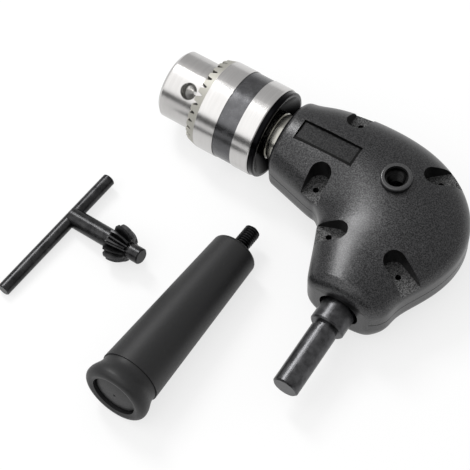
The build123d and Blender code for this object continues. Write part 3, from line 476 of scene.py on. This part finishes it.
def innerMetal(name, roughness, axis):
    material, tree, shader = startMaterial(name, {"metallic": 1.0})
    point = pointInMm(tree, crossing, axis)
    lathe = placeGroup(tree, latheGroup, {"Point": point, "Rings": innerLook["rings"]})
    shade = tuple(innerLook["shade"] * part for part in innerLook[name])
    colour = blendColours(tree, ramp(tree, lathe.outputs["Streak"], *noiseSpan), shade, innerLook[name])
    tree.links.new(colour, shader.inputs["Base Color"])
    shader.inputs["Roughness"].default_value = roughness
    bumpInto(tree, shader, lathe.outputs["Height"], innerLook["depth"])
    return material


bronze = innerMetal("bronze", 0.4, chuckAxis)
gearSteel = innerMetal("gearSteel", 0.35, chuckAxis)
groundSteel = innerMetal("groundSteel", 0.25, chuckAxis)
screwSteel = innerMetal("screwSteel", 0.38, headTop)

finishes = {
    "upper_shell": housingPlastic,
    "lower_shell": housingPlastic,
    "housing_screws": screwSteel,
    "handle_insert": threadMetal,
    "output_front_bush": bronze,
    "output_rear_bush": bronze,
    "input_front_bush": bronze,
    "input_rear_bush": bronze,
    "output_thrust_washer": groundSteel,
    "input_thrust_washer": groundSteel,
    "output_spindle": neckSteel,
    "output_gear": gearSteel,
    "output_gear_pin": groundSteel,
    "chuck_body": noseSteel,
    "chuck_sleeve": sleeveSteel,
    "chuck_band": bandMetal,
    "chuck_nut": gearSteel,
    "jaw_1": gearSteel,
    "jaw_2": gearSteel,
    "jaw_3": gearSteel,
    "input_shaft": shankMetal,
    "input_gear": gearSteel,
    "input_gear_pin": groundSteel,
    "handle_grip": gripPlastic,
    "handle_bolt": threadMetal,
    "handle_end_cap": gripPlastic,
    "key_body": keyMetal,
    "key_bar": keyMetal,
}
for name, material in finishes.items():
    nodes[name].data.materials.clear()
    nodes[name].data.materials.append(material)
print("materials made:", len(bpy.data.materials))

# Modelled pieces: each is made standing on the origin along Z, then laid in place
making = {"sides": 64, "flankShare": 0.36, "turnSteps": 40, "weld": 0.001, "smoothAngle": 0.6}


def addCylinder(radius, low, high):
    deselectAll()
    bpy.ops.mesh.primitive_cylinder_add(
        vertices=making["sides"], radius=radius * mm, depth=(high - low) * mm,
        location=(0, 0, (low + high) / 2 * mm),
    )
    bpy.ops.object.transform_apply(location=True, rotation=True, scale=True)
    return bpy.context.object


def addCone(lowRadius, highRadius, low, high):
    deselectAll()
    bpy.ops.mesh.primitive_cone_add(
        vertices=making["sides"], radius1=lowRadius * mm, radius2=highRadius * mm, depth=(high - low) * mm,
        location=(0, 0, (low + high) / 2 * mm),
    )
    bpy.ops.object.transform_apply(location=True, rotation=True, scale=True)
    return bpy.context.object


def combine(body, tool, operation):
    deselectAll()
    body.select_set(True)
    bpy.context.view_layer.objects.active = body
    cut = body.modifiers.new("cut", "BOOLEAN")
    cut.operation = operation
    cut.solver = "EXACT"
    cut.object = tool
    bpy.ops.object.modifier_apply(modifier=cut.name)
    bpy.data.objects.remove(tool, do_unlink=True)
    return body


def screwThread(major, minor, pitch, low, high):  # a turned ridge, its ends cut square
    deselectAll()
    bpy.ops.mesh.primitive_plane_add(size=minor * mm)
    thread = bpy.context.object
    bpy.ops.object.mode_set(mode="EDIT")
    bpy.ops.mesh.select_all(action="SELECT")
    bpy.ops.mesh.merge(type="CENTER")
    bpy.ops.transform.translate(value=(minor * mm, 0, (low - 2 * pitch) * mm))
    flank = pitch * making["flankShare"]
    flat = pitch / 2 - flank
    for out, rise in ((0, flat), (major - minor, flank), (0, flat), (minor - major, flank)):
        bpy.ops.mesh.extrude_region_move(TRANSFORM_OT_translate={"value": (out * mm, 0, rise * mm)})
    bpy.ops.object.mode_set(mode="OBJECT")
    turning = thread.modifiers.new("turning", "SCREW")
    turning.axis = "Z"
    turning.screw_offset = pitch * mm
    turning.iterations = round((high - low) / pitch) + 3
    turning.steps = making["turnSteps"]
    turning.render_steps = making["turnSteps"]
    turning.use_merge_vertices = True
    turning.merge_threshold = making["weld"] * mm
    turning.use_normal_calculate = True
    bpy.ops.object.modifier_apply(modifier=turning.name)
    bpy.ops.object.mode_set(mode="EDIT")
    bpy.ops.mesh.select_all(action="SELECT")
    bpy.ops.mesh.remove_doubles(threshold=making["weld"] * mm)
    for height, side in ((low, "inner"), (high, "outer")):
        bpy.ops.mesh.select_all(action="SELECT")
        bpy.ops.mesh.bisect(
            plane_co=(0, 0, height * mm), plane_no=(0, 0, 1), use_fill=True,
            clear_inner=side == "inner", clear_outer=side == "outer",
        )
    bpy.ops.mesh.select_all(action="SELECT")
    bpy.ops.mesh.normals_make_consistent(inside=False)
    bpy.ops.object.mode_set(mode="OBJECT")
    return thread


def settle(piece, name, place, axis, material, body):
    deselectAll()
    piece.select_set(True)
    bpy.context.view_layer.objects.active = piece
    piece.name = name
    piece.location = place
    piece.rotation_euler = turnTo(axis).to_euler()
    bpy.ops.object.transform_apply(location=True, rotation=True, scale=True)
    bpy.ops.object.shade_smooth_by_angle(angle=making["smoothAngle"])
    piece.data.materials.clear()
    piece.data.materials.append(material)
    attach(piece, body)


# Bolt of the side handle: threaded stud, plain shank and head. Zero is at the grip's face
boltSizes = {
    "threadMinor": 2.5, "pitch": 1.0, "neck": 0.4, "pastStud": 0.6, "tipLength": 0.9, "tipShare": 0.6,
    "tipSpare": 0.1, "shankRadius": 3.3, "headRadius": 5.5, "headFrom": -62.1, "headTo": -66.1,
    "overlap": 0.5, "coreOverlap": 0.2,
}
studRadius = mounts["handle_stud"]["dims"]["r_mm"]
studTip = studLength + boltSizes["pastStud"]
tipStart = studTip - boltSizes["tipLength"]
tipRadius = studRadius + boltSizes["tipSpare"]
bolt = screwThread(studRadius, boltSizes["threadMinor"], boltSizes["pitch"], boltSizes["neck"], studTip)
tip = addCylinder(tipRadius, boltSizes["neck"] - boltSizes["pitch"], tipStart)
tip = combine(tip, addCone(tipRadius, studRadius * boltSizes["tipShare"], tipStart, studTip), "UNION")
bolt = combine(bolt, tip, "INTERSECT")
shank = addCylinder(boltSizes["shankRadius"], boltSizes["headFrom"] - boltSizes["overlap"], 0)
core = addCylinder(
    boltSizes["threadMinor"], -boltSizes["overlap"], boltSizes["neck"] + boltSizes["coreOverlap"]
)
shank = combine(shank, core, "UNION")
head = addCylinder(boltSizes["headRadius"], boltSizes["headTo"], boltSizes["headFrom"])
shank = combine(shank, head, "UNION")
bolt = combine(shank, bolt, "UNION")
settle(bolt, "handle_bolt_thread", handleFace, studAxis, threadMetal, "handle")
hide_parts("handle_bolt")
print("bolt made:", len(bolt.data.polygons))

# Screws of the housing, their heads seen from below. Each site is along the chuck and along the shank
screwSizes = {
    "sites": ((29.0, 15.0), (29.0, -15.0), (15.5, 28.5), (-12.1, 29.2), (-6.5, -9.3)),
    "seat": -6.5, "headRadius": 2.8, "headHeight": 1.8, "headRound": 0.7, "roundSteps": 4,
    "slotWidth": 0.55, "slotReach": 1.6, "slotDepth": 1.2, "top": 3.8, "major": 1.05, "minor": 0.75,
    "pitch": 0.9, "plain": 1.0, "headOverlap": 0.3, "threadOverlap": 0.2,
}
screw = addCylinder(screwSizes["headRadius"], -screwSizes["headHeight"], screwSizes["headHeight"])
rounding = screw.modifiers.new("rounding", "BEVEL")
rounding.width = screwSizes["headRound"] * mm
rounding.segments = screwSizes["roundSteps"]
bpy.ops.object.modifier_apply(modifier=rounding.name)
bpy.ops.object.mode_set(mode="EDIT")
bpy.ops.mesh.select_all(action="SELECT")
bpy.ops.mesh.bisect(plane_co=(0, 0, 0), plane_no=(0, 0, 1), use_fill=True, clear_outer=True)
bpy.ops.object.mode_set(mode="OBJECT")
slotSides = (screwSizes["slotWidth"], screwSizes["slotReach"])
for width, reach in (slotSides, slotSides[::-1]):
    deselectAll()
    bpy.ops.mesh.primitive_cube_add(size=1, location=(0, 0, -screwSizes["headHeight"] * mm))
    slotCut = bpy.context.object
    slotCut.scale = (2 * width * mm, 2 * reach * mm, 2 * screwSizes["slotDepth"] * mm)
    bpy.ops.object.transform_apply(location=True, rotation=True, scale=True)
    screw = combine(screw, slotCut, "DIFFERENCE")
plainTop = screwSizes["plain"] + screwSizes["threadOverlap"]
screw = combine(screw, addCylinder(screwSizes["major"], -screwSizes["headOverlap"], plainTop), "UNION")
screwEnd = screwThread(
    screwSizes["major"], screwSizes["minor"], screwSizes["pitch"], screwSizes["plain"],
    screwSizes["top"] - screwSizes["seat"],
)
screw = combine(screw, screwEnd, "UNION")
for number, (alongChuck, alongShank) in enumerate(screwSizes["sites"], 1):
    deselectAll()
    screw.select_set(True)
    bpy.context.view_layer.objects.active = screw
    bpy.ops.object.duplicate()
    copied = bpy.context.object
    offset = chuckAxis * alongChuck + shankAxis * alongShank + headTop * screwSizes["seat"]
    name = f"housing_screw_{number}"
    settle(copied, name, crossing + offset * mm, headTop, screwSteel, "housing")
    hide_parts("housing_screws")
bpy.data.objects.remove(screw, do_unlink=True)
print("screws made:", len(screwSizes["sites"]), "of", len(copied.data.polygons))

# Threaded insert in the housing's boss. Zero is at its top face
insertSizes = {
    "radius": 4.1, "top": 16.9, "length": 5.7, "major": 3.05, "minor": 2.5, "pitch": 1.0, "past": 0.5,
    "mouthDepth": 0.6, "mouthPast": 0.15, "mouthUnder": 0.1, "mouthOver": 0.25,
}
insert = addCylinder(insertSizes["radius"], -insertSizes["length"], 0)
bore = screwThread(
    insertSizes["major"], insertSizes["minor"], insertSizes["pitch"],
    -insertSizes["length"] - insertSizes["past"], insertSizes["past"],
)
insert = combine(insert, bore, "DIFFERENCE")
mouth = addCone(
    insertSizes["minor"] - insertSizes["mouthUnder"], insertSizes["major"] + insertSizes["mouthOver"],
    -insertSizes["mouthDepth"] - insertSizes["mouthPast"], insertSizes["mouthPast"],
)
insert = combine(insert, mouth, "DIFFERENCE")
insertPlace = Vector(mounts["handle_thread"]["pos_m"])
insertPlace += headTop * (insertSizes["top"] * mm - (insertPlace - crossing).dot(headTop))
settle(insert, "handle_insert_thread", insertPlace, headTop, insertShadedMetal, "housing")
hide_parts("handle_insert")
print("insert made:", len(insert.data.polygons))

# Floor and backdrop in one, white to the camera but for the shadow
stageLook = {"size": 6.0, "height": -0.0001, "white": 0.9, "glow": 0.72}
deselectAll()
bpy.ops.mesh.primitive_plane_add(size=stageLook["size"], location=(0, 0, stageLook["height"]))
floor = bpy.context.object
floor.name = "floor"
floorMaterial, floorTree, floorShader = startMaterial("floorWhite", {"specular": 0.0})
floorShader.inputs["Base Color"].default_value = (stageLook["white"],) * 3 + (1,)
floorShader.inputs["Roughness"].default_value = 1.0
whiteGlow = shaderNode(floorTree, "Emission", {"Color": (1, 1, 1, 1), "Strength": 1.0})
rays = shaderNode(floorTree, "LightPath")
seen = calculate(floorTree, "MAXIMUM", rays.outputs["Is Camera Ray"], rays.outputs["Is Glossy Ray"])
seen = calculate(floorTree, "MAXIMUM", seen, rays.outputs["Is Transmission Ray"])
glowShare = calculate(floorTree, "MULTIPLY", seen, stageLook["glow"])
floorMix = shaderNode(
    floorTree, "MixShader", {0: glowShare, 1: floorShader.outputs[0], 2: whiteGlow.outputs[0]}
)
floorTree.links.new(floorMix.outputs[0], floorTree.nodes["Material Output"].inputs["Surface"])
floor.data.materials.append(floorMaterial)

# World: a plain even light
worldLook = {"fill": 0.6}
world = bpy.data.worlds.new("studio")
bpy.context.scene.world = world
world.use_nodes = True
worldTree = world.node_tree
fillLight = shaderNode(worldTree, "Background", {"Color": (1, 1, 1, 1), "Strength": worldLook["fill"]})
worldOut = next(node for node in worldTree.nodes if node.type == "OUTPUT_WORLD")
worldTree.links.new(fillLight.outputs[0], worldOut.inputs["Surface"])

# Lamps: soft boxes, each placed from the middle of the set and facing it
lampLook = {
    "overheadBox": {"place": (-0.29, -0.48, 0.82), "size": (1.0, 1.5), "watts": 5.2},
    "backBox": {"place": (-0.56, 0.24, 0.78), "size": (0.18, 0.34), "watts": 4.0},
}
for name, look in lampLook.items():
    lamp = bpy.data.lights.new(name, "AREA")
    lamp.shape = "RECTANGLE"
    lamp.size, lamp.size_y = look["size"]
    lamp.energy = look["watts"]
    holder = bpy.data.objects.new(name, lamp)
    bpy.context.scene.collection.objects.link(holder)
    holder.location = look["place"]
    holder.rotation_euler = (-Vector(look["place"])).to_track_quat("-Z", "Y").to_euler()

# Dark card low in front, out of the camera's sight, which draws the dark line along the bright metal
cardLook = {"away": -1.4, "width": 3.0, "height": 0.46, "colour": (0.02, 0.02, 0.02), "roughness": 0.9}
deselectAll()
bpy.ops.mesh.primitive_plane_add(
    size=1, location=(0, cardLook["away"], cardLook["height"] / 2), rotation=(pi / 2, 0, 0)
)
card = bpy.context.object
card.name = "darkCard"
card.scale = (cardLook["width"], cardLook["height"], 1)
card.visible_camera = False
bpy.ops.object.transform_apply(location=True, rotation=True, scale=True)
cardMaterial, _, cardShader = startMaterial("cardDark", {})
cardShader.inputs["Base Color"].default_value = (*cardLook["colour"], 1)
cardShader.inputs["Roughness"].default_value = cardLook["roughness"]
card.data.materials.append(cardMaterial)
print("stage and lamps set")

# Camera, at the photograph's angle. Its places are in mm from under the crossing of the axes
cameraLook = {
    "fromCrossing": (123.7, -300.01, 509.09),
    "towards": (-49.96, -34.17, 0.0),
    "lens": 129.8,
    "sensor": 36.0,
    "clip": (0.01, 20.0),
}
cameraData = bpy.data.cameras.new("camera")
camera = bpy.data.objects.new("camera", cameraData)
bpy.context.scene.collection.objects.link(camera)
ground = Vector((crossing.x, crossing.y, 0))
camera.location = ground + Vector(cameraLook["fromCrossing"]) * mm
aim = ground + Vector(cameraLook["towards"]) * mm
camera.rotation_euler = (aim - camera.location).to_track_quat("-Z", "Y").to_euler()
cameraData.lens = cameraLook["lens"]
cameraData.sensor_width = cameraLook["sensor"]
cameraData.clip_start, cameraData.clip_end = cameraLook["clip"]
bpy.context.scene.camera = camera
bpy.context.scene.view_settings.view_transform = "Standard"
